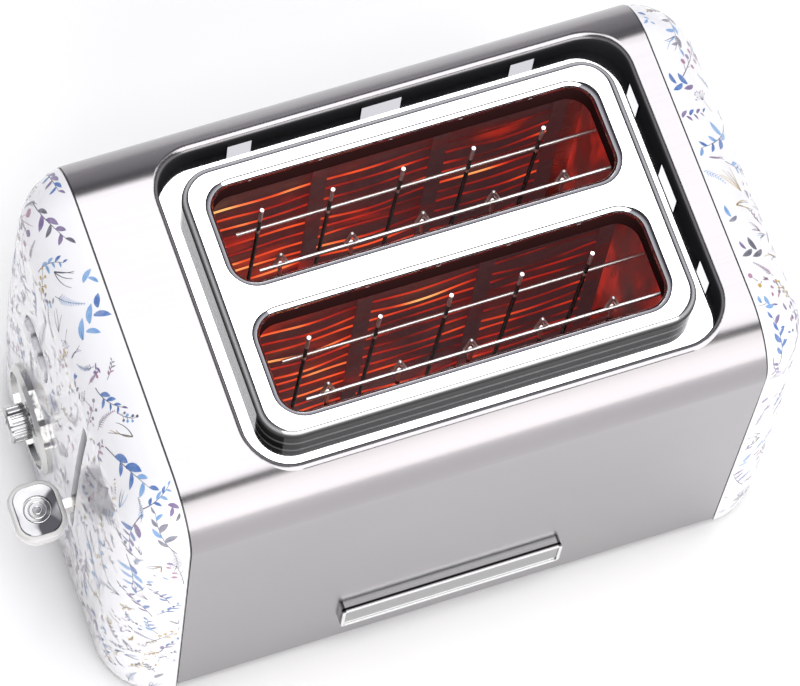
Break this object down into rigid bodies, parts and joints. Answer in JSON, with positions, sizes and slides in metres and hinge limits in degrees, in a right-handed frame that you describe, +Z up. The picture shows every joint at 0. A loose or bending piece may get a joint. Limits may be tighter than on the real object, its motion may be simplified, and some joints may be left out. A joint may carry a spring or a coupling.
{
  "type": "two-slice toaster",
  "caption": "Toaster with a steel wrap between printed end caps, wide bread slots, wire guards, a lever carriage, a dial, push buttons and a crumb tray.",
  "frame": {"origin": "under the middle of the whole toaster, on the table", "axes": "+X along the toaster away from the lever, +Y from the badge side to the crumb tray side, +Z up"},
  "size_m": [0.2858, 0.16, 0.172],
  "materials": {
    "brushed_wrap_steel": "fine brushed, bright",
    "chrome_pan": "mirror bright",
    "white_gloss": "glossy white under a printed leaf pattern",
    "black_base": "satin",
    "inner_steel": "plain zinc grey",
    "reflector_metal": "bright",
    "dial_chrome": "mirror bright",
    "pearl_plastic": "glossy pearl",
    "button_white": "glossy",
    "panel_grey": "glossy",
    "lever_steel": "bright",
    "circuit_green": "satin",
    "switch_black": "matt",
    "magnet_iron": "dark",
    "rubber_black": "matt",
    "mica_brown": "layered mica sheet",
    "glowing_ribbon": "nichrome ribbon, glowing orange",
    "guard_wire": "bright plated wire",
    "tray_steel": "plain"
  },
  "bodies": {
    "housing": {"wrap": "brushed_wrap_steel", "slot_plate": "chrome_pan", "left_cap": "white_gloss", "right_cap": "white_gloss", "base_plate": "black_base", "left_bulkhead": "inner_steel", "right_bulkhead": "inner_steel", "dial_bezel": "dial_chrome", "button_panel": "panel_grey", "circuit_board": "circuit_green", "dial_switch": "switch_black", "latch_magnet": "magnet_iron", "badge": "dial_chrome", "cord_grommet": "rubber_black", "lift_spring": "inner_steel", "guide_rod": "inner_steel", "front_reflector": "reflector_metal", "back_reflector": "reflector_metal", "heater_board_front": "mica_brown", "heater_board_centre": "mica_brown", "heater_board_back": "mica_brown", "heater_ribbon_front": "glowing_ribbon", "heater_ribbon_centre": "glowing_ribbon", "heater_ribbon_back": "glowing_ribbon", "foot_1": "rubber_black", "foot_2": "rubber_black", "foot_3": "rubber_black", "foot_4": "rubber_black", "base_screw_1": "inner_steel", "base_screw_2": "inner_steel", "base_screw_3": "inner_steel", "base_screw_4": "inner_steel"},
    "carriage": {"carriage_plate": "inner_steel", "latch_armature": "magnet_iron", "lever_arm": "lever_steel", "lever_pad": "pearl_plastic", "lever_insert": "dial_chrome", "bread_rack_front": "inner_steel", "bread_rack_back": "inner_steel"},
    "guard_front_slot_front": {"guard_front_slot_front": "guard_wire"},
    "guard_front_slot_back": {"guard_front_slot_back": "guard_wire"},
    "guard_back_slot_front": {"guard_back_slot_front": "guard_wire"},
    "guard_back_slot_back": {"guard_back_slot_back": "guard_wire"},
    "dial": {"dial_knob": "dial_chrome"},
    "reheat_button": {"reheat_button": "button_white"},
    "defrost_button": {"defrost_button": "button_white"},
    "cancel_button": {"cancel_button": "button_white"},
    "crumb_tray": {"crumb_tray": "tray_steel"}
  },
  "joints": [
    {"name": "lever_lift", "type": "slide", "parent": "housing", "child": "carriage", "axis": [0, 0, 1], "range_m": [0, 0.062], "deforming": ["lift_spring"]},
    {"name": "guard_front_slot_front_tilt", "type": "hinge", "parent": "housing", "child": "guard_front_slot_front", "pos_m": [0.02065, -0.0439, 0.032], "axis": [1, 0, 0], "range_deg": [0, 3.28]},
    {"name": "guard_front_slot_back_tilt", "type": "hinge", "parent": "housing", "child": "guard_front_slot_back", "pos_m": [0.02065, -0.0091, 0.032], "axis": [-1, 0, 0], "range_deg": [0, 3.28]},
    {"name": "guard_back_slot_front_tilt", "type": "hinge", "parent": "housing", "child": "guard_back_slot_front", "pos_m": [0.02065, 0.0071, 0.032], "axis": [1, 0, 0], "range_deg": [0, 3.28]},
    {"name": "guard_back_slot_back_tilt", "type": "hinge", "parent": "housing", "child": "guard_back_slot_back", "pos_m": [0.02065, 0.0419, 0.032], "axis": [-1, 0, 0], "range_deg": [0, 3.28]},
    {"name": "dial_turn", "type": "hinge", "parent": "housing", "child": "dial", "pos_m": [-0.12359, 0.021, 0.058], "axis": [-1, 0, 0], "range_deg": [-135, 135]},
    {"name": "reheat_button_press", "type": "slide", "parent": "housing", "child": "reheat_button", "axis": [1, 0, 0], "range_m": [0, 0.0015], "stiffness_N_per_m": 300},
    {"name": "defrost_button_press", "type": "slide", "parent": "housing", "child": "defrost_button", "axis": [1, 0, 0], "range_m": [0, 0.0015], "stiffness_N_per_m": 300},
    {"name": "cancel_button_press", "type": "slide", "parent": "housing", "child": "cancel_button", "axis": [1, 0, 0], "range_m": [0, 0.0015], "stiffness_N_per_m": 300},
    {"name": "crumb_tray_pull", "type": "slide", "parent": "housing", "child": "crumb_tray", "axis": [0, 1, 0], "range_m": [0, 0.105]}
  ],
  "couplings": [
    {"joint": "guard_front_slot_front_tilt", "follows": "lever_lift", "rad_per_m": 0.9187},
    {"joint": "guard_front_slot_back_tilt", "follows": "lever_lift", "rad_per_m": 0.9187},
    {"joint": "guard_back_slot_front_tilt", "follows": "lever_lift", "rad_per_m": 0.9187},
    {"joint": "guard_back_slot_back_tilt", "follows": "lever_lift", "rad_per_m": 0.9187}
  ]
}
